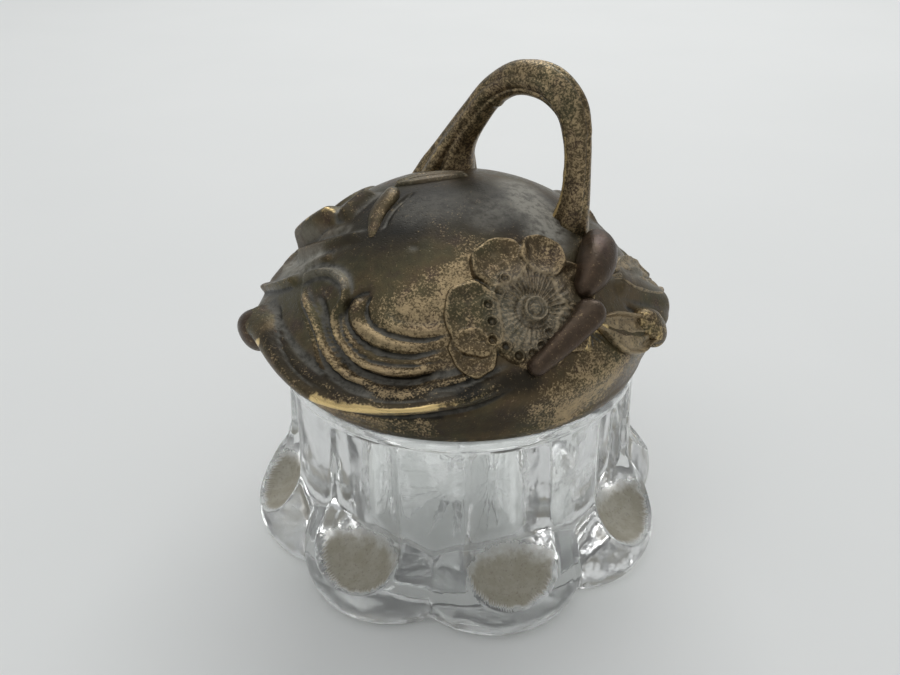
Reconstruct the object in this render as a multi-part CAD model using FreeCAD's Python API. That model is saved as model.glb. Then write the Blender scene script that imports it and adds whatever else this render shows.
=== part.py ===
"""Lidded glass inkwell: a pressed-glass pot with eight scooped lobes under a loose domed metal lid.

The frame stands on the table: origin at the centre of the foot, +Z up, -Y towards the front.
Azimuths are measured from the front, positive towards +X. Every length is in millimetres.
"""

import math
import os

import FreeCAD
import Part

# --- glass pot: driving dimensions ---
GLASS_HEIGHT = 43.4
NECK_RADIUS = 37.2
NECK_FOOT_RADIUS = 38.6  # the neck widens a little on its way down
LIP_RADIUS = 37.6
LIP_HEIGHT = 2.6
WELL_RADIUS = 29.5
WELL_FLOOR_HEIGHT = 7.5
WELL_CORNER_RADIUS = 6.0
MOUTH_CHAMFER = 0.6

LOBE_COUNT = 8
LOBE_PHASE = 14.0  # azimuth of the lobe beside the front
LOBE_AXIS_RADIUS = 27.0  # each lobe is turned about its own upright axis
LOBE_FOOT_RADIUS = 17.8
LOBE_BELLY_RADIUS = 19.2
LOBE_BELLY_HEIGHT = 4.5
LOBE_SHOULDER_RADIUS = 17.4
LOBE_SHOULDER_HEIGHT = 13.0
LOBE_WAIST_RADIUS = 12.4
LOBE_WAIST_HEIGHT = 22.0
LOBE_TOP_HEIGHT = 33.0
LOBE_SINK = 0.5  # the top of a lobe ends this far inside the neck

SCOOP_RADIUS = 11.5  # a round-ended cutter sunk into the outside of each lobe
SCOOP_DEPTH = 3.8  # below the neck's outside
SCOOP_END_HEIGHT = 19.3  # centre of the cutter's round end

FOOT_RECESS_RADIUS = 31.0
FOOT_RECESS_DEPTH = 1.0
STAR_RAY_COUNT = 16
STAR_RAY_DEPTH = 1.4
STAR_RAY_WIDTH = 4.0
STAR_RAY_INNER = 6.0

# --- lid: driving dimensions ---
SEAT_GAP = 0.1  # between the glass lip and the resting lid
RIM_RADIUS = 38.0
RIM_WALL = 1.6
DOME_RADIUS = 39.9
DOME_HEIGHT = 35.4
LID_WALL = 1.9
SKIRT_HEIGHT = 10.0
SKIRT_BULGE = 1.6
SKIRT_MIDDLE = 0.45  # share of the skirt's height, and of the brim's swell, at its middle ring
SKIRT_FULLNESS = 0.6  # share of the bulge at the middle ring

COLLAR_CLEARANCE = 0.45
COLLAR_WALL = 1.0
COLLAR_DEPTH = 5.0
FLANGE_THICKNESS = 1.2

# --- handle and ornaments: driving dimensions ---
HANDLE_REAR = (-169.0, 15.9)  # azimuth and radius of the rear foot
HANDLE_FRONT = (73.0, 23.2)
HANDLE_RISE = 55.4  # top of the arch's centre line above the lid's rim
HANDLE_THICKNESS = 6.0

ORNAMENT_SINK = 4.0  # how deep an ornament is drawn below the dome before the lid trims it

BLOSSOM_AZIMUTH = 26.7
BLOSSOM_HEIGHT = 22.0  # above the lid's rim, as are the other ornament heights
PETAL_COUNT = 6
PETAL_PHASE = 5.0
PETAL_RADIUS = 5.9
PETAL_REACH = 10.8  # from the button to the middle of a petal
PETAL_OVERLAP = 3.0  # how far the middle disc runs in under the petals
PETAL_RELIEF = 1.5
BUTTON_RADIUS = 2.6
BUTTON_RELIEF = 2.0

STEM_THICKNESS = 3.8
STEM_START = (42.0, 19.4)  # azimuth and height of its raised end
STEM_END = (19.5, 14.8)
STEM_PROUD = 2.0  # how far its centre line stands out of the plain dome
STEM_TAPER = 0.8
BUD_THICKNESS = 5.0
BUD_START = (65.0, 25.2)
BUD_END = (52.0, 19.6)
BUD_PROUD = 1.8
BUD_TAPER = 0.7
CURLED_THICKNESS = 4.6
CURLED_START = (-90.0, 33.2)
CURLED_END = (-51.0, 29.8)
CURLED_PROUD = 0.6
CURLED_TAPER = 0.7
DOME_LEAF_START = (-101.0, 33.4)
DOME_LEAF_END = (150.0, 35.2)
DOME_LEAF_WIDTH = 5.6
DOME_LEAF_RELIEF = 0.9
SIDE_PETAL_START = (52.0, 14.0)
SIDE_PETAL_END = (84.0, 13.0)
SIDE_PETAL_WIDTH = 9.0
SIDE_LEAF_START = (66.0, 21.0)
SIDE_LEAF_END = (98.0, 13.0)
SIDE_LEAF_WIDTH = 9.5
SIDE_RELIEF = 3.0

OVERCUT = 1.0  # how far a cutting shape runs past the face that it cuts

# --- dependent dimensions ---
RIM_HEIGHT = GLASS_HEIGHT + SEAT_GAP
SCOOP_AXIS_RADIUS = NECK_RADIUS - SCOOP_DEPTH + SCOOP_RADIUS
COLLAR_RADIUS = WELL_RADIUS - COLLAR_CLEARANCE
FLANGE_RADIUS = RIM_RADIUS - RIM_WALL
UP = FreeCAD.Vector(0, 0, 1)
CENTRE = FreeCAD.Vector(0, 0, 0)


def at(azimuth, radius, height):
    """The point at an azimuth, a distance from the pot's axis and a height above the table."""
    angle = math.radians(azimuth)
    return FreeCAD.Vector(radius * math.sin(angle), -radius * math.cos(angle), height)


def turned(outline):
    """The solid that an outline of (radius, height) points makes when it is turned about Z."""
    points = [FreeCAD.Vector(radius, 0, height) for radius, height in outline]
    face = Part.Face(Part.makePolygon(points + points[:1]))
    return face.revolve(CENTRE, UP, 360)


def around(shape, count, phase=0.0):
    """Copies of a shape spaced evenly about the pot's axis."""
    copies = []
    for index in range(count):
        copy = shape.copy()
        copy.rotate(CENTRE, UP, phase + index * 360.0 / count)
        copies.append(copy)
    return copies


# --- glass pot ---


def lobe():
    """One bell-shaped lobe, turned about its own upright axis, standing at azimuth zero."""
    side = Part.BSplineCurve()
    side.interpolate(
        [
            FreeCAD.Vector(LOBE_FOOT_RADIUS, 0, 0),
            FreeCAD.Vector(LOBE_BELLY_RADIUS, 0, LOBE_BELLY_HEIGHT),
            FreeCAD.Vector(LOBE_SHOULDER_RADIUS, 0, LOBE_SHOULDER_HEIGHT),
            FreeCAD.Vector(LOBE_WAIST_RADIUS, 0, LOBE_WAIST_HEIGHT),
            FreeCAD.Vector(NECK_RADIUS - LOBE_AXIS_RADIUS - LOBE_SINK, 0, LOBE_TOP_HEIGHT),
        ]
    )
    start, end = side.StartPoint, side.EndPoint
    foot = FreeCAD.Vector(0, 0, 0)
    top = FreeCAD.Vector(0, 0, LOBE_TOP_HEIGHT)
    edges = [
        side.toShape(),
        Part.makeLine(end, top),
        Part.makeLine(top, foot),
        Part.makeLine(foot, start),
    ]
    solid = Part.Face(Part.Wire(edges)).revolve(CENTRE, UP, 360)
    solid.translate(at(0, LOBE_AXIS_RADIUS, 0))
    return solid


def scoop():
    """The round-ended cutter of one scoop, at azimuth zero, up to the underside of the lip."""
    axis = at(0, SCOOP_AXIS_RADIUS, SCOOP_END_HEIGHT)
    shaft_length = GLASS_HEIGHT - LIP_HEIGHT - SCOOP_END_HEIGHT
    shaft = Part.makeCylinder(SCOOP_RADIUS, shaft_length, axis, UP)
    return shaft.fuse(Part.makeSphere(SCOOP_RADIUS, axis))


def star_ray():
    """The V-shaped groove of one ray of the cut star underneath, at azimuth zero."""
    half = STAR_RAY_WIDTH / 2
    section = [
        at(0, STAR_RAY_INNER, 0) + FreeCAD.Vector(-half, 0, 0),
        at(0, STAR_RAY_INNER, 0) + FreeCAD.Vector(half, 0, 0),
        at(0, STAR_RAY_INNER, 0) + FreeCAD.Vector(0, 0, FOOT_RECESS_DEPTH + STAR_RAY_DEPTH),
    ]
    tip = at(0, FOOT_RECESS_RADIUS, 0)
    faces = [Part.Face(Part.makePolygon(section + section[:1]))]
    for index in range(len(section)):
        corner = section[index - 1]
        faces.append(Part.Face(Part.makePolygon([corner, section[index], tip, corner])))
    return Part.makeSolid(Part.makeShell(faces))


def ink_well():
    """The hollow for the ink, with a rounded floor corner and a chamfered mouth."""
    bowl = Part.makeCylinder(
        WELL_RADIUS, GLASS_HEIGHT - WELL_FLOOR_HEIGHT + OVERCUT, FreeCAD.Vector(0, 0, WELL_FLOOR_HEIGHT)
    )
    corner = [edge for edge in bowl.Edges if edge.BoundBox.ZMax < WELL_FLOOR_HEIGHT + 0.1]
    bowl = bowl.makeFillet(WELL_CORNER_RADIUS, corner)
    mouth = turned(
        [
            (0, GLASS_HEIGHT - MOUTH_CHAMFER),
            (WELL_RADIUS, GLASS_HEIGHT - MOUTH_CHAMFER),
            (WELL_RADIUS + 2 * MOUTH_CHAMFER, GLASS_HEIGHT + MOUTH_CHAMFER),
            (0, GLASS_HEIGHT + MOUTH_CHAMFER),
        ]
    )
    return bowl.fuse(mouth)


def glass_body():
    neck = Part.makeCone(NECK_FOOT_RADIUS, NECK_RADIUS, GLASS_HEIGHT)
    lip = Part.makeCylinder(
        LIP_RADIUS, LIP_HEIGHT, FreeCAD.Vector(0, 0, GLASS_HEIGHT - LIP_HEIGHT)
    )
    solid = neck.fuse([lip] + around(lobe(), LOBE_COUNT, LOBE_PHASE))
    solid = solid.cut(around(scoop(), LOBE_COUNT, LOBE_PHASE))
    recess = turned(
        [
            (0, -OVERCUT),
            (FOOT_RECESS_RADIUS, -OVERCUT),
            (FOOT_RECESS_RADIUS, 0),
            (FOOT_RECESS_RADIUS - FOOT_RECESS_DEPTH, FOOT_RECESS_DEPTH),
            (0, FOOT_RECESS_DEPTH),
        ]
    )
    solid = solid.cut(around(star_ray(), STAR_RAY_COUNT) + [recess])
    return solid.cut(ink_well()).removeSplitter()


# --- lid ---

# Swellings of the brim: azimuth, reach beyond the plain skirt, lift of the brim, half width in degrees.
BRIM_SWELLS = (
    (-82.0, 3.8, -3.0, 9.0),  # left scroll
    (82.0, 3.4, -1.0, 12.0),  # right leaf over the brim
    (-138.0, 4.4, 4.6, 13.0),  # rear left curl
    (140.0, 3.0, 2.6, 14.0),  # rear right curl
    (-30.0, 0.8, -3.0, 22.0),  # long fold sweeping to the front
)

# Rings of the lid above the skirt: share of the dome's height, and share of the brim's swell.
DOME_HEIGHT_SHARES = (0.43, 0.6, 0.76, 0.88, 0.95, 0.985, 0.997)
SWELL_SHARES = (0.5, 0.12, 0.0, 0.0, 0.0, 0.0, 0.0)
RING_POINTS = 40
HOLLOW_STEPS = 16  # straight steps that the inner dome is drawn with


def dome_radius_at(height):
    """The plain dome's radius at a height above the rim."""
    return DOME_RADIUS * math.sqrt(1 - (height / DOME_HEIGHT) ** 2)


def swell(azimuth, column):
    """The brim's swelling at an azimuth: column 1 is its reach and column 2 its lift."""
    total = 0.0
    for row in BRIM_SWELLS:
        turn = (azimuth - row[0] + 180.0) % 360.0 - 180.0
        total += row[column] * math.exp(-((turn / row[3]) ** 2))
    return total


def skin_ring(height, radius, share):
    """One closed ring of the lid's skin."""
    points = []
    for index in range(RING_POINTS):
        azimuth = index * 360.0 / RING_POINTS
        reach = radius + share * swell(azimuth, 1)
        lift = height + share * swell(azimuth, 2)
        points.append(at(azimuth, reach, RIM_HEIGHT + lift))
    curve = Part.BSplineCurve()
    curve.interpolate(Points=points, PeriodicFlag=True)
    return Part.Wire([curve.toShape()])


def lid_block():
    """The lid's outside as a solid block, before it is hollowed."""
    skirt_radius = dome_radius_at(SKIRT_HEIGHT)
    middle_radius = (RIM_RADIUS + skirt_radius) / 2 + SKIRT_FULLNESS * SKIRT_BULGE
    rings = [
        skin_ring(0.0, RIM_RADIUS, 0.0),
        skin_ring(SKIRT_MIDDLE * SKIRT_HEIGHT, middle_radius, SKIRT_MIDDLE),
        skin_ring(SKIRT_HEIGHT, skirt_radius + SKIRT_BULGE, 1.0),
    ]
    for height_share, swell_share in zip(DOME_HEIGHT_SHARES, SWELL_SHARES):
        height = height_share * DOME_HEIGHT
        rings.append(skin_ring(height, dome_radius_at(height), swell_share))
    return Part.makeLoft(rings, True, False)


def lid_hollow():
    """The hollow under the lid: an inner dome over a straight seat for the locating ring."""
    inner_height = DOME_HEIGHT - LID_WALL - FLANGE_THICKNESS
    outline = [(0.0, -OVERCUT), (FLANGE_RADIUS, -OVERCUT)]
    for index in range(HOLLOW_STEPS + 1):
        angle = math.radians(90.0 * index / HOLLOW_STEPS)
        height = FLANGE_THICKNESS + inner_height * math.sin(angle)
        outline.append((FLANGE_RADIUS * math.cos(angle), height))
    solid = turned(outline)
    solid.translate(FreeCAD.Vector(0, 0, RIM_HEIGHT))
    return solid


def locating_ring():
    """The flanged ring soldered inside the rim, with a collar that hangs in the glass mouth."""
    solid = turned(
        [
            (COLLAR_RADIUS - COLLAR_WALL, -COLLAR_DEPTH),
            (COLLAR_RADIUS, -COLLAR_DEPTH),
            (COLLAR_RADIUS, 0),
            (FLANGE_RADIUS, 0),
            (FLANGE_RADIUS, FLANGE_THICKNESS),
            (COLLAR_RADIUS - COLLAR_WALL, FLANGE_THICKNESS),
        ]
    )
    solid.translate(FreeCAD.Vector(0, 0, RIM_HEIGHT))
    return solid


# --- handle and ornaments ---


def dome_point(azimuth, height):
    """A point of the plain dome and the direction straight out of it."""
    spot = at(azimuth, dome_radius_at(height), height)
    out = FreeCAD.Vector(
        spot.x / DOME_RADIUS**2, spot.y / DOME_RADIUS**2, spot.z / DOME_HEIGHT**2
    )
    return spot + FreeCAD.Vector(0, 0, RIM_HEIGHT), out.normalize()


def along(shape, place, direction):
    """A shape made upright at the origin, moved to a place and turned so that its Z points along."""
    moved = shape.copy()
    moved.Placement = FreeCAD.Placement(place, FreeCAD.Rotation(UP, direction))
    return moved


def lens(centre, out, radius, relief, sink):
    """A round domed pad that stands out of the lid, its underside sunk below the plain dome."""
    corner = FreeCAD.Vector(radius, 0, 0)
    crown = FreeCAD.Vector(0, 0, relief)
    ball_radius = (radius**2 + relief**2) / (2 * relief)
    half_turn = math.asin(radius / ball_radius) / 2
    middle = FreeCAD.Vector(
        ball_radius * math.sin(half_turn), 0, relief - ball_radius * (1 - math.cos(half_turn))
    )
    base = FreeCAD.Vector(0, 0, -sink)
    outline = [
        Part.Arc(corner, middle, crown).toShape(),
        Part.makeLine(crown, base),
        Part.makeLine(base, FreeCAD.Vector(radius, 0, -sink)),
        Part.makeLine(FreeCAD.Vector(radius, 0, -sink), corner),
    ]
    pad = Part.Face(Part.Wire(outline)).revolve(CENTRE, UP, 360)
    return along(pad, centre, out)


def leaf_between(start, end, width, relief, sink):
    """A pointed leaf laid on the dome from one place to another, as a plate with two curved edges."""
    start_point, start_out = dome_point(*start)
    end_point, end_out = dome_point(*end)
    out = (start_out + end_out).normalize()
    run = end_point - start_point
    side = out.cross(run).normalize() * (width / 2)
    middle = (start_point + end_point) / 2
    edges = [
        Part.Arc(start_point, middle + side, end_point).toShape(),
        Part.Arc(end_point, middle - side, start_point).toShape(),
    ]
    plate = Part.Face(Part.Wire(edges))
    plate.translate(out * -sink)
    return plate.extrude(out * (sink + relief + leaf_sag(run.Length)))


def leaf_sag(length):
    """How far the dome rises between the ends of a straight leaf of this length."""
    return length**2 / (8 * DOME_RADIUS)


def dome_offset(centre, out, angle, reach):
    """The dome point reached from centre by going out sideways at an angle."""
    side = out.cross(UP).normalize()
    rise = side.cross(out)
    turn = math.radians(angle)
    goal = centre + side * (reach * math.cos(turn)) + rise * (reach * math.sin(turn))
    goal = goal - FreeCAD.Vector(0, 0, RIM_HEIGHT)
    share = math.sqrt((goal.x**2 + goal.y**2) / DOME_RADIUS**2 + (goal.z / DOME_HEIGHT) ** 2)
    goal = goal * (1 / share)
    azimuth = math.degrees(math.atan2(goal.x, -goal.y))
    return dome_point(azimuth, goal.z)


def large_blossom():
    """Round petals about a raised button."""
    centre, out = dome_point(BLOSSOM_AZIMUTH, BLOSSOM_HEIGHT)
    solid = lens(centre, out, BUTTON_RADIUS, BUTTON_RELIEF, ORNAMENT_SINK)
    disc = lens(centre, out, PETAL_REACH - PETAL_OVERLAP, PETAL_RELIEF, ORNAMENT_SINK)
    petals = []
    for index in range(PETAL_COUNT):
        angle = PETAL_PHASE + index * 360.0 / PETAL_COUNT
        spot, normal = dome_offset(centre, out, angle, PETAL_REACH)
        petals.append(lens(spot, normal, PETAL_RADIUS, PETAL_RELIEF, ORNAMENT_SINK))
    return solid.fuse([disc] + petals)


def rod_between(start, end, thickness, proud, taper):
    """A round-ended, tapering rod laid along the dome from one place to another."""
    start_point, start_out = dome_point(*start)
    end_point, end_out = dome_point(*end)
    start_point = start_point + start_out * proud
    end_point = end_point + end_out * proud
    big = thickness / 2
    small = big * taper
    along = end_point - start_point
    cone = Part.makeCone(big, small, along.Length, start_point, along)
    return cone.fuse([Part.makeSphere(big, start_point), Part.makeSphere(small, end_point)])


def side_blossom():
    """The half-hidden petal at the right and the leaf that lies over the brim behind it."""
    petal = leaf_between(
        SIDE_PETAL_START, SIDE_PETAL_END, SIDE_PETAL_WIDTH, SIDE_RELIEF, ORNAMENT_SINK
    )
    leaf = leaf_between(SIDE_LEAF_START, SIDE_LEAF_END, SIDE_LEAF_WIDTH, SIDE_RELIEF, ORNAMENT_SINK)
    return petal.fuse(leaf)


def branch_handle():
    """The arched branch: round sections lofted along a flat arch from foot to foot."""
    rear = at(HANDLE_REAR[0], HANDLE_REAR[1], RIM_HEIGHT)
    front = at(HANDLE_FRONT[0], HANDLE_FRONT[1], RIM_HEIGHT)
    span = front - rear
    along = FreeCAD.Vector(span).normalize()
    # share of the span, share of the rise, share of the thickness
    stations = (
        (0.00, 0.50, 2.50),
        (0.05, 0.60, 1.95),
        (0.11, 0.70, 1.32),
        (0.25, 0.83, 1.00),
        (0.40, 0.935, 0.96),
        (0.60, 0.998, 1.08),
        (0.80, 0.99, 1.14),
        (0.93, 0.93, 1.05),
        (0.98, 0.83, 0.90),
        (0.995, 0.71, 0.88),
        (0.99, 0.61, 1.00),
        (0.965, 0.52, 1.30),
        (0.94, 0.45, 1.60),
    )
    centres = [rear + span * s + UP * (rise * HANDLE_RISE) for s, rise, _ in stations]
    rings = []
    for index, (_, _, thick) in enumerate(stations):
        before = centres[max(index - 1, 0)]
        after = centres[min(index + 1, len(centres) - 1)]
        direction = after - before
        circle = Part.Circle(centres[index], direction, thick * HANDLE_THICKNESS / 2)
        rings.append(Part.Wire([circle.toShape()]))
    return Part.makeLoft(rings, True, False)


def save(name, shape):
    """Writes one node, and says what it holds."""
    shape.exportStep(f"parts/{name}.step")
    print(name, len(shape.Solids), "solid", round(shape.Volume, 1), "mm3", shape.isValid())


os.makedirs("parts", exist_ok=True)
block = lid_block()
handle = branch_handle()
blossom = large_blossom()
stem = rod_between(STEM_START, STEM_END, STEM_THICKNESS, STEM_PROUD, STEM_TAPER)
bud = rod_between(BUD_START, BUD_END, BUD_THICKNESS, BUD_PROUD, BUD_TAPER)
rolled = rod_between(CURLED_START, CURLED_END, CURLED_THICKNESS, CURLED_PROUD, CURLED_TAPER)
leaf = leaf_between(DOME_LEAF_START, DOME_LEAF_END, DOME_LEAF_WIDTH, DOME_LEAF_RELIEF, ORNAMENT_SINK)
save("glass_body", glass_body())
save("lid_shell", block.cut(lid_hollow()))
save("locating_ring", locating_ring())
save("branch_handle", handle.cut(block))
save("large_blossom", blossom.cut([block, handle, stem, bud]))
save("side_blossom", side_blossom().cut([block, handle, stem, bud]))
save("flower_stem", stem.cut(block))
save("bud", bud.cut([block, handle, stem]))
save("curled_bud", rolled.cut([block, leaf]))
save("dome_leaf", leaf.cut([block, handle]))
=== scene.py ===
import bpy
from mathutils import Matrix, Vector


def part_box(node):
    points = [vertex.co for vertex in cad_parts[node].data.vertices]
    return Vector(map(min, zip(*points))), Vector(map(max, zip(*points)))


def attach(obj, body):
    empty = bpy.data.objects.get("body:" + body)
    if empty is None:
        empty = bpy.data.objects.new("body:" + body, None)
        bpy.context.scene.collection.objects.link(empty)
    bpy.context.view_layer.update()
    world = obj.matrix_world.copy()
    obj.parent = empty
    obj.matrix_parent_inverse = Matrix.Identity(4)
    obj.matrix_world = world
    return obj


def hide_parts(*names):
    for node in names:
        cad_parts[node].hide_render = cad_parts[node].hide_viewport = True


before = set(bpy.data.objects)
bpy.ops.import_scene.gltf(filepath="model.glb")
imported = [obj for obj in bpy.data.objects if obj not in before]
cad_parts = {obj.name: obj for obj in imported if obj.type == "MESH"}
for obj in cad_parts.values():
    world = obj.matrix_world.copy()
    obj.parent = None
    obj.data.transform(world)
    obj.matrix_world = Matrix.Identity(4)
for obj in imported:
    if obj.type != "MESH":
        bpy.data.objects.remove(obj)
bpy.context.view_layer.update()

import math

import bpy
import numpy as np
from mathutils import Matrix, Vector

# Everything below is worked out in millimetres and written to the meshes in metres.
MM = 0.001
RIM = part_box("lid_shell")[0].z / MM  # height of the lid's lower edge
SEAT_ROOM = 0.3  # the glass lip is drawn this far under its place, clear of the lid that rests on it
POT_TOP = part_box("glass_body")[1].z / MM - SEAT_ROOM

# ---------------------------------------------------------------- curves and meshes


def smooth(low, high, value):
    """0 below low, 1 above high, and an even curve between."""
    share = np.clip((np.asarray(value, float) - low) / (high - low), 0.0, 1.0)
    return share * share * (3.0 - 2.0 * share)


def soft_max(first, second, blend):
    """The larger of two numbers, with a rounded change from one to the other."""
    return 0.5 * (first + second + np.sqrt((first - second) ** 2 + blend**2))


def soft_min(first, second, blend):
    """The smaller of two numbers, with a rounded change from one to the other."""
    return -soft_max(-first, -second, blend)


def curve_through(knots, rows, where):
    """A smooth curve through rows of numbers, one row at each knot, read at other places."""
    knots = np.asarray(knots, float)
    rows = np.asarray(rows, float).reshape(len(knots), -1)
    slopes = np.gradient(rows, knots, axis=0)
    index = np.clip(np.searchsorted(knots, where, side="right") - 1, 0, len(knots) - 2)
    step = (knots[index + 1] - knots[index])[:, None]
    x = ((where - knots[index]) / step[:, 0])[:, None]
    return (
        (2 * x**3 - 3 * x**2 + 1) * rows[index]
        + (x**3 - 2 * x**2 + x) * step * slopes[index]
        + (3 * x**2 - 2 * x**3) * rows[index + 1]
        + (x**3 - x**2) * step * slopes[index + 1]
    )


def even_path(points, count):
    """Points spread evenly along a smooth curve through the given ones."""
    points = np.asarray(points, float)
    reach = np.concatenate([[0.0], np.cumsum(np.linalg.norm(np.diff(points, axis=0), axis=1))])
    return curve_through(reach, points, np.linspace(0.0, reach[-1], count))


def about_axis(radius, turn, height):
    """Points at a distance from the object's axis, at an azimuth in radians from the front."""
    radius, turn, height = np.broadcast_arrays(radius, turn, height)
    return np.stack([radius * np.sin(turn), -radius * np.cos(turn), height], -1)


def unit(vectors):
    """Vectors of length 1 in the same directions."""
    return vectors / (np.linalg.norm(vectors, axis=-1, keepdims=True) + 1e-12)


def closed_grid(rows, first_pole, last_pole):
    """Vertices and faces of rows of points closed round, with a point at each end."""
    count, around = rows.shape[:2]
    vertices = np.concatenate([rows.reshape(-1, 3), [first_pole, last_pole]])
    index = np.arange(count * around).reshape(count, around)
    here, beside = index, np.roll(index, -1, axis=1)
    quads = np.stack([here[:-1], beside[:-1], beside[1:], here[1:]], -1).reshape(-1, 4)
    first = np.stack([beside[0], here[0], np.full(around, count * around)], -1)
    last = np.stack([here[-1], beside[-1], np.full(around, count * around + 1)], -1)
    return vertices, quads, np.concatenate([first, last])


def faces_out(vertices, quads, fans):
    """True if the faces of a closed mesh face outwards, from its signed volume."""
    corners = np.concatenate([quads[:, [0, 1, 2]], quads[:, [0, 2, 3]], fans])
    a, b, c = (vertices[corners[:, k]] for k in range(3))
    return (np.cross(a, b) * c).sum() > 0


def bulge_of(vertices, quads, rounds):
    """How far each vertex stands out of its surroundings (positive) or sinks into them, in mm."""
    a = np.concatenate([quads[:, 0], quads[:, 1], quads[:, 2], quads[:, 3]])
    b = np.concatenate([quads[:, 1], quads[:, 2], quads[:, 3], quads[:, 0]])
    total = len(vertices)
    share = np.maximum(np.bincount(a, minlength=total) + np.bincount(b, minlength=total), 1)
    face_normals = np.cross(
        vertices[quads[:, 2]] - vertices[quads[:, 0]], vertices[quads[:, 3]] - vertices[quads[:, 1]]
    )
    normals = np.zeros_like(vertices)
    for corner in range(4):
        for axis in range(3):
            normals[:, axis] += np.bincount(
                quads[:, corner], weights=face_normals[:, axis], minlength=total
            )
    normals = unit(normals)
    eased = vertices.copy()
    for _ in range(rounds):
        moved = np.empty_like(eased)
        for axis in range(3):
            moved[:, axis] = np.bincount(a, weights=eased[b, axis], minlength=total)
            moved[:, axis] += np.bincount(b, weights=eased[a, axis], minlength=total)
        eased = 0.5 * eased + 0.5 * moved / share[:, None]
    return ((vertices - eased) * normals).sum(1)


def place_piece(name, vertices, faces, values, body, nodes, material):
    """Makes a mesh object from vertices in mm, with its marks, body, nodes, slot and material."""
    mesh = bpy.data.meshes.new(name)
    mesh.from_pydata((vertices * MM).tolist(), [], faces)
    mesh.update()
    mesh.shade_smooth()
    for label, numbers in values.items():
        layer = mesh.attributes.new(label, "FLOAT", "POINT")
        layer.data.foreach_set("value", numbers.astype(np.float32))
    piece = bpy.data.objects.new(name, mesh)
    bpy.context.scene.collection.objects.link(piece)
    mesh.materials.append(material)
    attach(piece, body)
    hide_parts(*nodes)


def add_piece(name, rows, poles, body, nodes, material, marks, rounds=10):
    """Makes one closed piece from rows of points in mm that are closed round, with a pole at each end."""
    vertices, quads, fans = closed_grid(rows, *poles)
    if not faces_out(vertices, quads, fans):
        quads, fans = quads[:, ::-1], fans[:, ::-1]
    values = {"bulge": bulge_of(vertices, quads, rounds)}
    values["bulge"][-2:] = 0.0
    for mark, grid in marks.items():
        values[mark] = np.concatenate([grid.ravel(), [grid[0].mean(), grid[-1].mean()]])
    faces = quads.tolist() + fans.tolist()
    place_piece(name, vertices, faces, values, body, nodes, material)


def add_band(name, rows, body, nodes, material, rounds=4):
    """Makes a ring-shaped piece from rows of points that close both ways."""
    vertices = rows.reshape(-1, 3)
    index = np.arange(len(vertices)).reshape(rows.shape[:2])
    beside, next_row = np.roll(index, -1, 1), np.roll(index, -1, 0)
    quads = np.stack([index, beside, np.roll(beside, -1, 0), next_row], -1).reshape(-1, 4)
    if not faces_out(vertices, quads, quads[:0, :3]):
        quads = quads[:, ::-1]
    values = {"bulge": bulge_of(vertices, quads, rounds)}
    place_piece(name, vertices, quads.tolist(), values, body, nodes, material)


def even_marks(shape, rubbed, thin, dusty):
    """The same marks all over a grid of points."""
    return {"rubbed": np.full(shape, rubbed), "thin": np.full(shape, thin), "dusty": np.full(shape, dusty)}


# ---------------------------------------------------------------- materials


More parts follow.
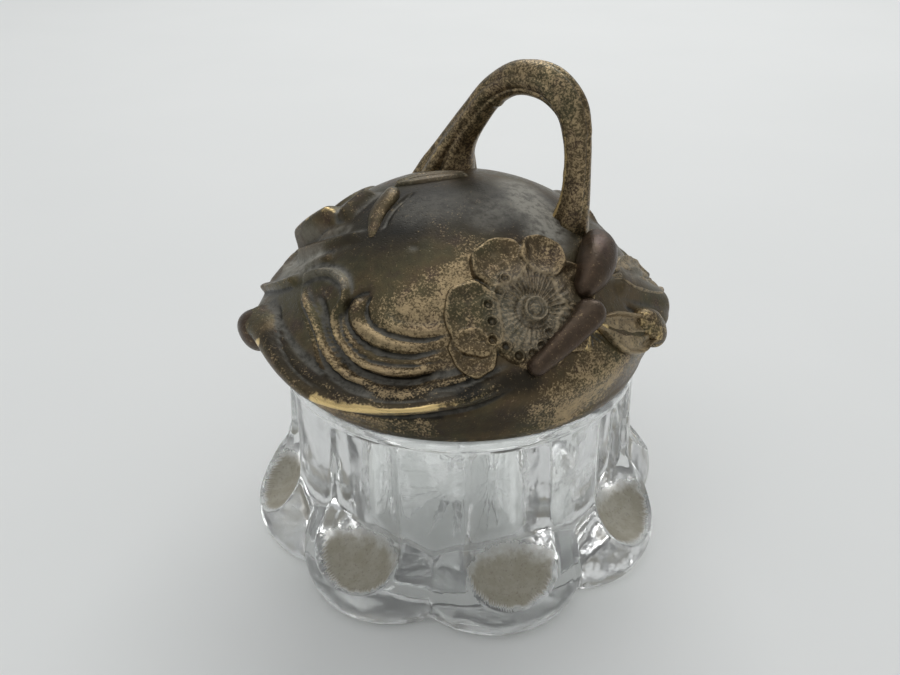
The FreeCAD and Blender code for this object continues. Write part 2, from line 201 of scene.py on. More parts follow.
class Shader:
    """Short names for the nodes of one material."""

    def __init__(self, name):
        self.material = bpy.data.materials.new(name)
        self.material.use_nodes = True
        self.tree = self.material.node_tree
        self.tree.nodes.clear()
        self.output = self.tree.nodes.new("ShaderNodeOutputMaterial")
        self.surface = self.tree.nodes.new("ShaderNodeBsdfPrincipled")
        self.tree.links.new(self.surface.outputs[0], self.output.inputs["Surface"])
        self.place = self.tree.nodes.new("ShaderNodeTexCoord").outputs["Object"]

    def feed(self, socket, value):
        """Links a socket to another, or gives it a constant; a colour gets its alpha."""
        if isinstance(value, bpy.types.NodeSocket):
            self.tree.links.new(value, socket)
        else:
            socket.default_value = (*value, 1.0) if isinstance(value, tuple) else value

    def math(self, kind, *values, clamp=False):
        node = self.tree.nodes.new("ShaderNodeMath")
        node.operation = kind
        node.use_clamp = clamp
        for socket, value in zip(node.inputs, values):
            self.feed(socket, value)
        return node.outputs[0]

    def plus(self, first, second):
        return self.math("ADD", first, second)

    def times(self, first, second, clamp=False):
        return self.math("MULTIPLY", first, second, clamp=clamp)

    def mix(self, share, first, second, kind="RGBA"):
        """Colours mixed by a share from 0 to 1."""
        node = self.tree.nodes.new("ShaderNodeMix")
        node.data_type = kind
        self.feed(node.inputs["Factor"], share)
        self.feed(node.inputs["A"], first)
        self.feed(node.inputs["B"], second)
        return node.outputs["Result"]

    def blend(self, share, first, second):
        """Plain numbers mixed as the colours are."""
        return self.mix(share, first, second, "FLOAT")

    def pattern(self, kind, size, shift, stretch=(1.0, 1.0, 1.0)):
        """A procedural texture node with its own shift and stretch of the object's space."""
        place = self.tree.nodes.new("ShaderNodeMapping")
        self.feed(place.inputs["Vector"], self.place)
        place.inputs["Location"].default_value = shift
        place.inputs["Scale"].default_value = stretch
        node = self.tree.nodes.new(kind)
        self.feed(node.inputs["Vector"], place.outputs[0])
        node.inputs["Scale"].default_value = 1.0 / (size * MM)
        return node

    def noise(self, size, detail=4.0, rough=0.55, shift=(0.0, 0.0, 0.0), stretch=(1.0, 1.0, 1.0)):
        """Cloudy noise about 0.5, whose largest lumps are about size mm."""
        node = self.pattern("ShaderNodeTexNoise", size, shift, stretch)
        node.inputs["Detail"].default_value = detail
        node.inputs["Roughness"].default_value = rough
        return node.outputs["Fac"]

    def cells(self, size, shift):
        """Distance to the nearest of scattered points about size mm apart."""
        return self.pattern("ShaderNodeTexVoronoi", size, shift).outputs["Distance"]

    def mark(self, name):
        """The number that the mesh carries under a name, 0 where it carries none."""
        node = self.tree.nodes.new("ShaderNodeAttribute")
        node.attribute_name = name
        return node.outputs["Fac"]

    def upward(self):
        """1 where the surface faces up, 0 where it is upright."""
        geometry = self.tree.nodes.new("ShaderNodeNewGeometry")
        split = self.tree.nodes.new("ShaderNodeSeparateXYZ")
        self.feed(split.inputs[0], geometry.outputs["Normal"])
        return self.math("MAXIMUM", split.outputs["Z"], 0.0)

    def range(self, value, low, high, start=0.0, end=1.0):
        """An even curve from start to end while the value goes from low to high."""
        node = self.tree.nodes.new("ShaderNodeMapRange")
        node.interpolation_type = "SMOOTHSTEP"
        self.feed(node.inputs["Value"], value)
        for socket, number in zip(node.inputs[1:5], (low, high, start, end)):
            socket.default_value = number
        return node.outputs[0]

    def bump(self, height, depth):
        """Small relief, depth in mm for a height of 1."""
        node = self.tree.nodes.new("ShaderNodeBump")
        node.inputs["Strength"].default_value = 1.0
        node.inputs["Distance"].default_value = depth * MM
        self.feed(node.inputs["Height"], height)
        self.feed(self.surface.inputs["Normal"], node.outputs[0])

    def set(self, **values):
        """Feeds the surface's sockets, named with _ for a space."""
        for name, value in values.items():
            self.feed(self.surface.inputs[name.replace("_", " ")], value)


OLIVE = (0.104, 0.089, 0.045)
CHOCOLATE = (0.145, 0.100, 0.049)
PLUM = (0.088, 0.050, 0.042)
TAN = (0.50, 0.375, 0.215)
GOLD = (0.86, 0.64, 0.30)
DUST = (0.30, 0.285, 0.245)
# near-black, for dark tarnish and for painted shade
SOOT_AND_SHADE = (0.018, 0.016, 0.012)


def gilt_material(name, speckle=0.5, dusty=1.0, plum=0.0):
    """Tarnished gilt metal: brown film over gold, rubbed through on edges, dust lying in hollows, painted
    shade in the deep hollows and where the mesh is marked for it.
    """
    s = Shader(name)
    bulge = s.mark("bulge")
    cloud = s.noise(14.0, 5.0, 0.6)
    patch = s.noise(6.0, 5.0, 0.6, shift=(0.3, 0.1, 0.2))
    grit = s.noise(0.42, 3.0, 0.65, shift=(0.1, 0.4, 0.0))
    grain = s.noise(1.6, 5.0, 0.7, shift=(0.5, 0.0, 0.3))
    pits = s.cells(0.9, shift=(0.02, 0.05, 0.01))

    film = s.mix(s.range(cloud, 0.38, 0.62), OLIVE, CHOCOLATE)
    film = s.mix(s.range(patch, 0.5, 0.72, plum, 0.7 + 0.3 * plum), film, PLUM)
    film = s.mix(s.range(grain, 0.35, 0.7, 0.35, 0.0), film, SOOT_AND_SHADE)
    # painted shade where the mesh is marked for it, with random clouds of dark tarnish, turns the film
    # near-black
    shade_and_tarnish = s.plus(s.mark("shade_and_tarnish"), s.range(cloud, 0.45, 0.62, 0.0, 0.22))
    film = s.mix(s.times(shade_and_tarnish, 0.75, clamp=True), film, SOOT_AND_SHADE)

    # tan bloom where the film is thin: fine speckle inside soft-edged patches
    thin = s.plus(s.mark("thin"), s.range(bulge, 0.02, 0.40, 0.0, 0.40))
    thin = s.plus(thin, s.range(patch, 0.46, 0.70, 0.0, 0.55 * speckle))
    bare = s.plus(s.times(grit, 0.72), s.times(grain, 0.28))
    bare = s.plus(bare, s.times(thin, 0.22))
    bare = s.range(bare, 0.60, 0.74)
    colour = s.mix(s.times(bare, s.range(grain, 0.35, 0.65, 0.45, 0.85)), film, TAN)

    # bright gold on rubbed edges and in the places marked as rubbed
    rubbed = s.plus(s.range(bulge, 0.22, 0.75, 0.0, 0.5), s.mark("rubbed"))
    rubbed = s.plus(s.times(rubbed, 0.55), s.times(grain, 0.6))
    rubbed = s.range(rubbed, 0.55, 0.74)
    colour = s.mix(rubbed, colour, GOLD)

    # painted shade darkens the deep hollows; grey dust lies over the shallow ones and on what faces up
    painted_hollow_shade = s.range(bulge, -0.24, -0.03, 0.92, 0.0)
    colour = s.mix(painted_hollow_shade, colour, SOOT_AND_SHADE)
    lying = s.times(s.range(bulge, -0.22, 0.02, 1.0, 0.0), s.upward())
    lying = s.plus(s.times(lying, 0.55), s.mark("dusty"))
    lying = s.times(lying, s.range(grain, 0.30, 0.62, 0.25, 1.0))
    lying = s.times(lying, dusty, clamp=True)
    colour = s.mix(lying, colour, DUST)

    metal = s.blend(rubbed, s.blend(bare, 0.72, 0.88), 1.0)
    metal = s.times(metal, s.math("SUBTRACT", 1.0, lying), clamp=True)
    rough = s.blend(rubbed, s.range(grain, 0.3, 0.7, 0.27, 0.46), 0.22)
    rough = s.blend(s.times(shade_and_tarnish, 0.6, clamp=True), rough, 0.55)
    rough = s.blend(lying, rough, 0.85)
    s.set(Base_Color=colour, Metallic=metal, Roughness=rough)
    height = s.plus(s.times(grain, 0.7), s.times(grit, 0.35))
    height = s.plus(height, s.range(pits, 0.05, 0.30, -0.35, 0.0))
    s.bump(height, 0.12)
    return s.material


def glass_material():
    """Clear pressed glass with a fire-polished, faintly wavy skin."""
    s = Shader("clear_pressed_glass")
    wave = s.noise(7.0, 2.0, 0.4)
    fine = s.noise(0.8, 3.0, 0.6, shift=(0.2, 0.3, 0.1))
    scuffs = s.range(s.noise(3.0, 6.0, 0.75, shift=(0.4, 0.2, 0.5)), 0.60, 0.78, 0.0, 0.16)
    # a brown film lies in the lower ends of the scoops, streaky and thinning upwards
    blotch = s.noise(2.4, 5.0, 0.65, shift=(0.1, 0.6, 0.2))
    speck = s.noise(0.55, 3.0, 0.7, shift=(0.3, 0.1, 0.2), stretch=(1.0, 1.0, 0.4))
    film = s.plus(s.mark("grime"), s.range(blotch, 0.3, 0.7, -0.10, 0.12))
    film = s.times(s.range(film, 0.10, 0.9, 0.0, 0.86), s.range(s.mark("grime"), 0.02, 0.35))
    depth = s.range(s.mark("grime"), 0.3, 0.9, 0.0, 0.6)
    depth = s.plus(depth, s.range(blotch, 0.38, 0.6, 0.0, 0.4))
    brown = s.mix(depth, (0.45, 0.43, 0.35), (0.275, 0.235, 0.145))
    brown = s.mix(s.range(speck, 0.55, 0.66, 0.0, 0.7), brown, (0.15, 0.10, 0.055))
    s.set(Base_Color=s.mix(film, (0.985, 0.992, 0.988), brown))
    milk = s.range(wave, 0.35, 0.65, 0.06, 0.11)  # a faint haze keeps the darkest refractions grey
    s.set(Roughness=s.math("MAXIMUM", s.plus(scuffs, 0.015), s.times(film, 0.8)))
    cloudy = s.math("MAXIMUM", film, milk)
    s.set(Transmission_Weight=s.math("SUBTRACT", 1.0, cloudy), IOR=1.51)
    ripple = s.noise(2.6, 2.0, 0.5, shift=(0.7, 0.1, 0.4), stretch=(1.0, 1.0, 0.35))
    wave = s.plus(wave, s.times(ripple, 0.14))
    s.bump(s.plus(wave, s.times(fine, 0.04)), 0.36)
    # lamps shine through the glass, dimmed, instead of leaving a black shadow
    clear = s.tree.nodes.new("ShaderNodeBsdfTransparent")
    clear.inputs[0].default_value = (0.93, 0.94, 0.935, 1.0)
    path = s.tree.nodes.new("ShaderNodeLightPath")
    both = s.tree.nodes.new("ShaderNodeMixShader")
    s.feed(both.inputs[0], path.outputs["Is Shadow Ray"])
    s.feed(both.inputs[1], s.surface.outputs[0])
    s.feed(both.inputs[2], clear.outputs[0])
    s.feed(s.output.inputs["Surface"], both.outputs[0])
    return s.material


def floor_material():
    """The pale matt bench."""
    s = Shader("pale_bench")
    soft = s.noise(90.0, 3.0, 0.5)
    s.set(Base_Color=s.mix(soft, (0.79, 0.80, 0.79), (0.83, 0.835, 0.825)), Roughness=0.55,
          Specular_IOR_Level=0.25)
    return s.material


GLASS = glass_material()
GILT = gilt_material("tarnished_gilt")
GILT_DARK = gilt_material("tarnished_gilt_dark", speckle=0.2, dusty=0.5)
GILT_PLUM = gilt_material("tarnished_gilt_plum", speckle=0.1, dusty=0.4, plum=0.6)
GILT_INSIDE = gilt_material("tarnished_gilt_inside", speckle=0.8, dusty=0.3)

# ---------------------------------------------------------------- glass pot

LOBES = 8
LOBE_PHASE = math.radians(14.0)  # azimuth of the lobe beside the front
LOBE_AXIS = 27.0  # each lobe is round about its own upright axis
LOBE_TOP = 33.0  # where the lobes have sunk into the neck
LOBE_SIDE = ((0.0, 17.8), (4.5, 19.2), (13.0, 17.4), (22.0, 12.4), (LOBE_TOP, 9.7))  # height, radius
NECK = (38.6, 37.2)  # radius at the foot and at the top
LIP_RADIUS, LIP_HEIGHT = 37.6, 2.6
SCOOP_RADIUS, SCOOP_AXIS, SCOOP_END = 11.5, 44.9, 19.3
WELL_RADIUS, WELL_FLOOR, WELL_CORNER = 29.5, 7.5, 6.0
RECESS_RADIUS, RECESS_DEPTH = 31.0, 1.0
FOOT_ROUND, LIP_ROUND = 1.1, 0.9  # radii of the foot's outer edge and of the lip's two edges
EDGE_BLEND = 0.55  # softness of the edges between the scoops and the lobes
GRIME_TOP, GRIME_FULL = 19.0, 9.5  # heights between which the brown film in the scoops thickens
STAR_RAYS, STAR_RISE, STAR_INNER, STAR_WIDTH = 16, 2.4, 6.0, 4.0
POT_COLUMNS = 576
OUTSIDE_LEVELS = np.concatenate([  # closest where the scoops' round ends turn level
    np.linspace(1.4, 7.2, 10), np.linspace(7.5, 9.0, 26), np.linspace(9.15, 11.0, 10),
    np.linspace(11.7, 39.2, 34),
])


def pot_radius(turn, height):
    """Outside radius of the pot at an azimuth and a height, and how thick the film lies there."""
    pitch = 2.0 * math.pi / LOBES
    off = (turn - LOBE_PHASE + pitch / 2.0) % pitch - pitch / 2.0
    neck = NECK[0] + (NECK[1] - NECK[0]) * height / POT_TOP
    side = np.array(LOBE_SIDE)
    rho = curve_through(side[:, 0], side[:, 1], np.minimum(height.ravel(), LOBE_TOP))[:, 0]
    rho = rho.reshape(height.shape)
    inside = np.maximum(rho**2 - (LOBE_AXIS * np.sin(off)) ** 2, 0.0)
    lobe = np.where(inside > 0.0, LOBE_AXIS * np.cos(off) + np.sqrt(inside), 0.0)
    lobe -= 14.0 * smooth(26.0, LOBE_TOP, height)
    body = soft_max(neck, lobe, 0.9)
    drop = np.maximum(SCOOP_END - height, 0.0)
    reach = np.maximum(SCOOP_RADIUS**2 - drop**2, 0.0) - (SCOOP_AXIS * np.sin(off)) ** 2
    scoop = np.where(
        reach > 0.0, SCOOP_AXIS * np.cos(off) - np.sqrt(np.maximum(reach, 0.0)), 90.0
    )
    lip_foot = POT_TOP - LIP_HEIGHT
    scoop += 30.0 * smooth(lip_foot - 1.4, lip_foot + 0.3, height)
    cut = soft_min(body, scoop, EDGE_BLEND)
    lip = smooth(lip_foot - 0.5, lip_foot + 0.5, height)
    film = smooth(0.0, 0.9, body - scoop) * smooth(GRIME_TOP, GRIME_FULL, height)
    return cut * (1.0 - lip) + LIP_RADIUS * lip, film


def star_height(turn, radius):
    """Height of the underside at an azimuth and a radius: a recess with a cut star."""
    pitch = 2.0 * math.pi / STAR_RAYS
    off = np.abs((turn + pitch / 2.0) % pitch - pitch / 2.0) * radius
    share = np.clip((RECESS_RADIUS - radius) / (RECESS_RADIUS - STAR_INNER), 0.0, 1.0)
    ray = STAR_RISE * share * (1.0 - off / (0.5 * STAR_WIDTH * share + 1e-6))
    ray = np.where(radius < STAR_INNER, STAR_RISE * (1.0 - 0.35 * (1.0 - radius / STAR_INNER)), ray)
    recess = RECESS_DEPTH * smooth(RECESS_RADIUS, RECESS_RADIUS - 1.2, radius)
    return np.maximum(recess, ray)


def make_pot():
    """The pressed-glass pot: rows of points from the underside, up the outside and down the well."""
    turn = LOBE_PHASE + np.arange(POT_COLUMNS) * 2.0 * math.pi / POT_COLUMNS
    ones = np.ones(POT_COLUMNS)
    rows, grime = [], []

    def add(radius, height, film=0.0):
        rows.append(about_axis(radius, turn, height))
        grime.append(film * ones)

    def add_outside(level, inset=0.0):
        radius, film = pot_radius(turn, level * ones)
        add(radius - inset, level, film)

    for radius in np.concatenate([np.linspace(1.5, 6.0, 5), np.linspace(7.0, 31.0, 24)]):
        add(radius, star_height(turn, radius))
    foot = pot_radius(turn, 0.0 * ones)[0]
    for share in (0.12, 0.5, 0.85):
        add(RECESS_RADIUS + (foot - FOOT_ROUND - RECESS_RADIUS) * share, 0.0)
    for angle in np.radians((8.0, 35.0, 60.0, 80.0)):
        add_outside(FOOT_ROUND * (1.0 - math.cos(angle)), FOOT_ROUND * (1.0 - math.sin(angle)))
    for level in OUTSIDE_LEVELS:
        add_outside(level)
    for level in np.linspace(39.7, POT_TOP - LIP_ROUND, 8):
        add_outside(level)
    for angle in np.radians((25.0, 50.0, 75.0, 90.0)):
        add(LIP_RADIUS - LIP_ROUND * (1.0 - math.cos(angle)),
            POT_TOP - LIP_ROUND * (1.0 - math.sin(angle)))
    for radius in (35.0, 32.5):
        add(radius, POT_TOP)
    for angle in np.radians((0.0, 30.0, 60.0, 90.0)):
        add(WELL_RADIUS + LIP_ROUND * (1.0 - math.sin(angle)),
            POT_TOP - LIP_ROUND * (1.0 - math.cos(angle)))
    for level in np.linspace(POT_TOP - 3.0, WELL_FLOOR + WELL_CORNER, 12):
        add(WELL_RADIUS, level)
    for angle in np.radians(np.linspace(10.0, 90.0, 9)):
        add(WELL_RADIUS - WELL_CORNER * (1.0 - math.cos(angle)),
            WELL_FLOOR + WELL_CORNER * (1.0 - math.sin(angle)))
    for radius in (19.0, 14.0, 9.0, 4.0):
        add(radius, WELL_FLOOR)
    poles = ((0.0, 0.0, STAR_RISE * 0.65), (0.0, 0.0, WELL_FLOOR))
    add_piece("glass_pot", np.array(rows), poles, "pot", ["glass_body"], GLASS,
              {"grime": np.array(grime)})


# ---------------------------------------------------------------- lid skin

RIM_RADIUS = 38.0
DOME_RADIUS, DOME_HEIGHT = 39.9, 35.4
RIM_WALL, LID_WALL, FLANGE_THICKNESS = 1.6, 1.9, 1.2
SKIRT_HEIGHT, SKIRT_BULGE = 10.0, 1.6
# azimuth, reach beyond the plain skirt, lift, half width in degrees
SWELLS = (
    (-82.0, 3.8, -3.0, 9.0),
    (82.0, 3.4, -1.0, 12.0),
    (-138.0, 4.4, 4.6, 13.0),
    (140.0, 3.0, 2.6, 14.0),
    (-30.0, 0.8, -3.0, 22.0),
)


def plain_radius(height):
    """Radius of the plain dome at a height above the rim."""
    return DOME_RADIUS * math.sqrt(1.0 - (height / DOME_HEIGHT) ** 2)


def skin_profile():
    """Rows of radius, height and share of the swell, from the rim to the crown."""
    shoulder = plain_radius(SKIRT_HEIGHT)
    rows = [
        (RIM_RADIUS, 0.0, 0.0),
        ((RIM_RADIUS + shoulder) / 2 + 0.6 * SKIRT_BULGE, 0.45 * SKIRT_HEIGHT, 0.45),
        (shoulder + SKIRT_BULGE, SKIRT_HEIGHT, 1.0),
    ]
    shares = zip((0.43, 0.6, 0.76, 0.88, 0.95, 0.985, 0.997), (0.5, 0.12, 0.0, 0.0, 0.0, 0.0, 0.0))
    for height, swell in shares:
        rows.append((plain_radius(height * DOME_HEIGHT), height * DOME_HEIGHT, swell))
    rows.append((0.0, DOME_HEIGHT, 0.0))
    return np.array(rows)


PROFILE = skin_profile()
PROFILE_REACH = np.concatenate(
    [[0.0], np.cumsum(np.hypot(np.diff(PROFILE[:, 0]), np.diff(PROFILE[:, 1])))]
)
STEPS = np.linspace(0.0, 1.0, 1200)
STEP_ROWS = curve_through(PROFILE_REACH, PROFILE, STEPS * PROFILE_REACH[-1])


def swell_of(azimuth, column):
    """The brim's waves at an azimuth: their reach (column 1) or their lift (column 2)."""
    total = np.zeros_like(azimuth, dtype=float)
    for row in SWELLS:
        turn = (azimuth - row[0] + 180.0) % 360.0 - 180.0
        total += row[column] * np.exp(-((turn / row[3]) ** 2))
    return total


def skin_at(azimuth, step):
    """The lid's skin at an azimuth in degrees and a share of the way from the rim to the crown."""
    azimuth, step = np.broadcast_arrays(np.asarray(azimuth, float), np.asarray(step, float))
    radius, height, share = (np.interp(step, STEPS, STEP_ROWS[:, k]) for k in range(3))
    reach = radius + share * swell_of(azimuth, 1)
    level = height + share * swell_of(azimuth, 2)
    return about_axis(reach, np.radians(azimuth), RIM + level)


def step_of(azimuth, height):
    """The share of the way up the skin at which it reaches a height above the rim."""
    azimuth, height = np.broadcast_arrays(np.asarray(azimuth, float), np.asarray(height, float))
    low, high = np.zeros(azimuth.shape), np.ones(azimuth.shape)
    lift = swell_of(azimuth, 2)
    for _ in range(26):
        middle = 0.5 * (low + high)
        level = np.interp(middle, STEPS, STEP_ROWS[:, 1])
        level += np.interp(middle, STEPS, STEP_ROWS[:, 2]) * lift
        low, high = np.where(level < height, middle, low), np.where(level < height, high, middle)
    return 0.5 * (low + high)


def on_skin(azimuth, height):
    """The lid's skin at an azimuth in degrees and a height above the rim."""
    return skin_at(azimuth, step_of(azimuth, height))


def out_of(points):
    """The direction straight out of the plain dome below some points."""
    scale = np.array([DOME_RADIUS**-2, DOME_RADIUS**-2, DOME_HEIGHT**-2])
    return unit((points - np.array([0.0, 0.0, RIM])) * scale)


def skin_under(points):
    """The skin points in line with the dome's centre, and the outward directions there."""
    away = points - np.array([0.0, 0.0, RIM])
    azimuth = np.degrees(np.arctan2(away[..., 0], -away[..., 1]))
    share = np.sqrt(
        (away[..., 0] ** 2 + away[..., 1] ** 2) / DOME_RADIUS**2 + (away[..., 2] / DOME_HEIGHT) ** 2
    )
    height = np.clip(away[..., 2] / share, 0.3, DOME_HEIGHT - 0.01)
    found = on_skin(azimuth, height)
    return found, out_of(found)


def skin_path(spots, count=80):
    """An even path over the skin through (azimuth, height) spots."""
    spots = np.array(spots, float)
    found, _ = skin_under(even_path(on_skin(spots[:, 0], spots[:, 1]), count))
    return found


# ---------------------------------------------------------------- lid relief


class Relief:
    """Heights sculpted on a grid of skin points."""

    def __init__(self, points, normals):
        self.points = points.reshape(-1, 3)
        self.normals = normals.reshape(-1, 3)
        self.height = np.zeros(len(self.points))
        names = ("thin", "rubbed", "dusty", "shade_and_tarnish")
        self.marks = {name: np.zeros(len(self.points)) for name in names}

    def near(self, path, reach):
        """Points within reach of a path: which, how far, on which side and how far along."""
        low, high = path.min(0) - reach, path.max(0) + reach
        which = np.where(((self.points > low) & (self.points < high)).all(1))[0]
        best, side, along = np.full(len(which), np.inf), np.zeros(len(which)), np.zeros(len(which))
        spots = self.points[which]
        out = self.normals[which]
        for index in range(len(path) - 1):
            start, run = path[index], path[index + 1] - path[index]
            share = np.clip(((spots - start) @ run) / (run @ run), 0.0, 1.0)
            away = spots - start - share[:, None] * run
            distance = np.linalg.norm(away, axis=1)
            closer = distance < best
            best[closer] = distance[closer]
            along[closer] = (index + share[closer]) / (len(path) - 1)
            side[closer] = (np.cross(run, away[closer]) * out[closer]).sum(1)
        keep = best < reach
        return which[keep], best[keep], np.sign(side[keep]), along[keep]

    def ridge(self, spots, height, left, right, fade=(0.08, 0.08), power=2.0, narrow=0.0):
        """A raised (or sunk) line, with its own width on each side of the path."""
        which, away, side, along = self.near(skin_path(spots), max(left, right))
        width = np.where(side > 0, left, right) * (1.0 - narrow * along)
        shape = np.clip(1.0 - (away / width) ** 2, 0.0, 1.0) ** power
        ends = smooth(0.0, fade[0], along) * smooth(0.0, fade[1], 1.0 - along)
        self.height[which] += height * shape * ends

    def lump(self, spot, height, along, across, power=1.5):
        """A rounded lump or dimple, with its own reach along the level direction and across it."""
        centre = on_skin(*spot)
        out = out_of(centre)
        level = unit(np.cross([0.0, 0.0, 1.0], out))
        away = self.points - centre
        share = ((away @ level) / along) ** 2 + ((away @ np.cross(out, level)) / across) ** 2
        share += ((away @ out) / (along + across)) ** 2
        self.height += height * np.clip(1.0 - share, 0.0, 1.0) ** power

    def paint(self, name, spots, reach, amount):
        """Marks the skin near a path, softly, for the material."""
        which, away, _, _ = self.near(skin_path(spots), reach)
        self.marks[name][which] += amount * (1.0 - smooth(0.25 * reach, reach, away))


LID_COLUMNS = 720
LID_ROWS = 124


def shifted(path, turn, lift):
    """A path moved over the lid by some degrees and some mm."""
    return [(azimuth + turn, height + lift) for azimuth, height in path]


# Paths over the lid as (azimuth, height above the rim), from the left scroll to the front.
SWEEP = ((-79, 10), (-70, 9.6), (-60, 8.4), (-50, 7.4), (-40, 6.9), (-30, 7.4), (-20, 8.3),
         (-10, 9.6), (0, 11), (9, 12.6), (16, 13.8))
SWEEP_EDGE = ((-74, 4.2), (-66, 3.4), (-56, 3.2), (-46, 4.2), (-36, 5.4), (-26, 6.3), (-16, 7.6),
              (-6, 8.8), (4, 10.6), (12, 12.2))
SWEEP_LINE = ((-74, 14), (-66, 12.5), (-56, 10.8), (-46, 9.2), (-38, 8.6), (-28, 8.8))
CREST_ONE = ((-66, 19.4), (-62, 18.6), (-54, 17.2), (-48, 15.6), (-42, 13.2), (-33, 11.2),
             (-24, 10.7), (-16, 11), (-8, 12.1), (0, 13.3), (8, 14.2))
CREST_TWO = ((-68, 19.5), (-65, 21), (-60, 22.8), (-52, 23.8), (-45, 23.2), (-42, 21.5),
             (-43, 18.6), (-41, 16.6), (-36, 14.6), (-30, 13.2), (-23, 12.8), (-14, 13.4), (-4, 15.2))
VALLEY = ((-58, 20.6), (-50, 19), (-45, 16.4), (-38, 13.8), (-30, 12.1), (-22, 11.7), (-12, 12.4),
          (-2, 14.2))
HOOK_OUTER = ((-33, 23.6), (-37, 22.9), (-39.5, 21), (-39, 19), (-36, 17.6), (-30, 16.2),
              (-22, 15.6), (-14, 15.9), (-4, 17.5))
HOOK_INNER = ((-33, 23.4), (-33, 21.6), (-30, 19.5), (-24, 18.3), (-17, 18), (-9, 18.6), (-3, 19.8))
HOOK_BODY = ((-35, 22.4), (-36, 20.4), (-34, 18.9), (-27, 17.3), (-18, 16.8), (-9, 17.3))
SKIRT_BEAD = ((-70, 1.0), (-40, 1.1), (-10, 1.1), (20, 1.1), (50, 1.1), (75, 1.1))


def sculpt_front(lid):
    """The sweeping folds at the left and front, the marks rubbed or dusted over them, and painted shade
    under the folds, on the front faces and over the crown.
    """
    lid.ridge(SWEEP, 3.6, 4.6, 4.2, fade=(0.02, 0.16), power=0.75, narrow=0.6)
    lid.ridge(shifted(SWEEP_EDGE[1:], 0, -0.2), -1.7, 1.2, 3.0, fade=(0.1, 0.2))
    lid.ridge(SWEEP_LINE, -0.9, 0.8, 0.8, fade=(0.1, 0.3))
    lid.ridge(CREST_ONE, 1.6, 1.2, 0.8, fade=(0.12, 0.12), power=1.5)
    lid.ridge(shifted(CREST_ONE, 0, -1.3), -0.7, 0.9, 0.9, fade=(0.12, 0.12))
    lid.ridge(VALLEY, -0.8, 1.5, 1.5, fade=(0.1, 0.25))
    lid.ridge(shifted(VALLEY[1:], 0, -0.2), 0.75, 0.5, 0.6, fade=(0.15, 0.15), power=1.5)
    lid.ridge(shifted(CREST_TWO[7:], 1, 1.5), 0.8, 0.6, 0.5, fade=(0.15, 0.15), power=1.5)
    lid.ridge(shifted(CREST_ONE[1:], 0, -1.9), 0.7, 0.6, 0.5, fade=(0.2, 0.15), power=1.5)
    lid.ridge(CREST_TWO, 1.5, 1.3, 0.8, fade=(0.06, 0.15), power=1.5)
    lid.ridge(shifted(CREST_TWO[6:], 0, -1.2), -0.6, 0.8, 0.8, fade=(0.1, 0.2))
    lid.ridge(HOOK_BODY, 1.1, 1.8, 1.8, fade=(0.05, 0.25), power=1.0)
    lid.ridge(HOOK_OUTER, -0.8, 0.5, 0.8, fade=(0.04, 0.25))
    lid.ridge(HOOK_INNER, -0.8, 0.6, 0.6, fade=(0.04, 0.25))
    lid.ridge(shifted(HOOK_INNER[2:], 2, 1.3), 0.5, 1.4, 0.9, fade=(0.2, 0.2))
    lid.ridge(SKIRT_BEAD, 0.25, 0.9, 0.9, fade=(0.05, 0.05))
    for row in (
        ("rubbed", [(-37, 6.9), (-32, 7.1), (-26, 7.2), (-20, 7.5), (-13, 8.3), (-7, 9.4)], 2.2, 0.66),
        # painted shade over the upper face of the front roll
        ("shade_and_tarnish", [(-62, 11.6), (-46, 9.8), (-30, 9.7), (-14, 10.8), (2, 12.8)], 2.6, 0.9),
        # painted shadow under the front roll's lower edge
        ("shade_and_tarnish", [(-66, 4.0), (-50, 4.0), (-36, 5.0), (-20, 5.8), (-6, 7.2)], 1.8, 0.9),
        # painted shade below the stem's lower end and the blossom
        ("shade_and_tarnish", [(2, 12.4), (18, 12.6)], 3.4, 0.9),
        # painted shade on the front skirt
        ("shade_and_tarnish", [(-16, 3.0), (6, 4.6), (22, 5.0)], 5.0, 0.6),
        # painted shade over the crown, damping the lamp's highlight there
        ("shade_and_tarnish", [(-60, 33), (0, 34.5), (60, 33)], 17.0, 1.2),
        # painted shade on the dome's front left
        ("shade_and_tarnish", [(-60, 26), (-30, 29)], 8.0, 0.35),
        ("rubbed", [(38, 15.2), (43, 16.8), (48, 15.6)], 2.6, 0.72),
    ):
        lid.paint(*row)
    for shift in (-2.6, -0.9, 0.8, 2.5):
        lid.ridge([(38 + shift, 14.0), (44 + shift, 18.4)], -0.45, 0.35, 0.35, fade=(0.1, 0.1))
        lid.ridge([(47 + shift, 14.0), (41 + shift, 18.4)], -0.45, 0.35, 0.35, fade=(0.1, 0.1))
    for row in (
        ("thin", [(-62, 18.6), (-42, 13.2), (-24, 10.7), (0, 13.3)], 2.6, 0.45),
        ("thin", [(-43, 18.6), (-30, 13.2), (-14, 13.4), (-2, 15.8)], 2.4, 0.5),
        ("thin", [(-33, 17.5), (-16, 17.5), (-2, 18.2)], 3.2, 0.5),
        ("thin", [(-26, 20.5), (-14, 21.2), (-2, 22)], 6.5, 0.52),
        ("thin", [(-16, 24), (-4, 26)], 7.0, 0.46),
        ("thin", [(-2, 27), (10, 30.5)], 4.5, 0.55),
        ("thin", [(-45, 1.8), (-30, 2.4), (-10, 3.6)], 3.4, 0.6),
        ("dusty", [(-66, 20.8), (-54, 24), (-44, 23)], 1.3, 0.5),
    ):
        lid.paint(*row)


